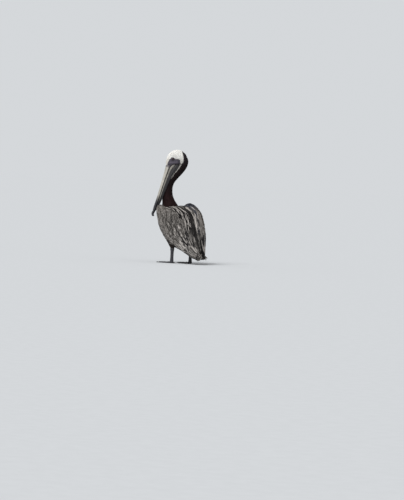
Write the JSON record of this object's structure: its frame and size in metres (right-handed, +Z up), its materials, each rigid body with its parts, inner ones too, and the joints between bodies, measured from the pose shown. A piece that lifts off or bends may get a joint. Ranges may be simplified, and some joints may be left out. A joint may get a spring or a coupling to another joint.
{
  "type": "brown pelican",
  "caption": "Still life-size model of a brown pelican standing at rest, neck drawn up, bill pointing down, wings folded.",
  "frame": {"origin": "middle of the bounding box at the level of the soles", "axes": "+Z up; the trunk heads towards -X, so the bird's left side is at -Y"},
  "size_m": [0.3224, 0.2446, 0.6399],
  "materials": {
    "mantle_feathers": "soft silver-grey feather",
    "wing_feathers": "soft silver-grey feather",
    "flight_feathers": "blackish stiff feather",
    "neck_feathers": "velvety dark maroon feather",
    "crown_feathers": "short creamy white feather",
    "belly_feathers": "soft dark brown feather",
    "bill_horn": "dull horn, pale to dark",
    "bare_skin": "wrinkled bare skin",
    "leg_skin": "scaly blackish skin",
    "eye": "wet gloss"
  },
  "bodies": {
    "root": {"trunk": "mantle_feathers", "tail": "flight_feathers", "neck_lower": "neck_feathers", "neck_middle": "neck_feathers", "neck_upper": "neck_feathers", "head": "crown_feathers", "bill_upper": "bill_horn", "bill_nail": "bill_horn", "bill_lower": "bill_horn", "pouch": "bare_skin", "eye_left": "eye", "eye_right": "eye", "wing_left": "wing_feathers", "wing_right": "wing_feathers", "primaries_left": "flight_feathers", "primaries_right": "flight_feathers", "thigh_left": "belly_feathers", "thigh_right": "belly_feathers", "leg_left": "leg_skin", "leg_right": "leg_skin", "foot_left": "leg_skin", "foot_right": "leg_skin"}
  },
  "joints": []
}
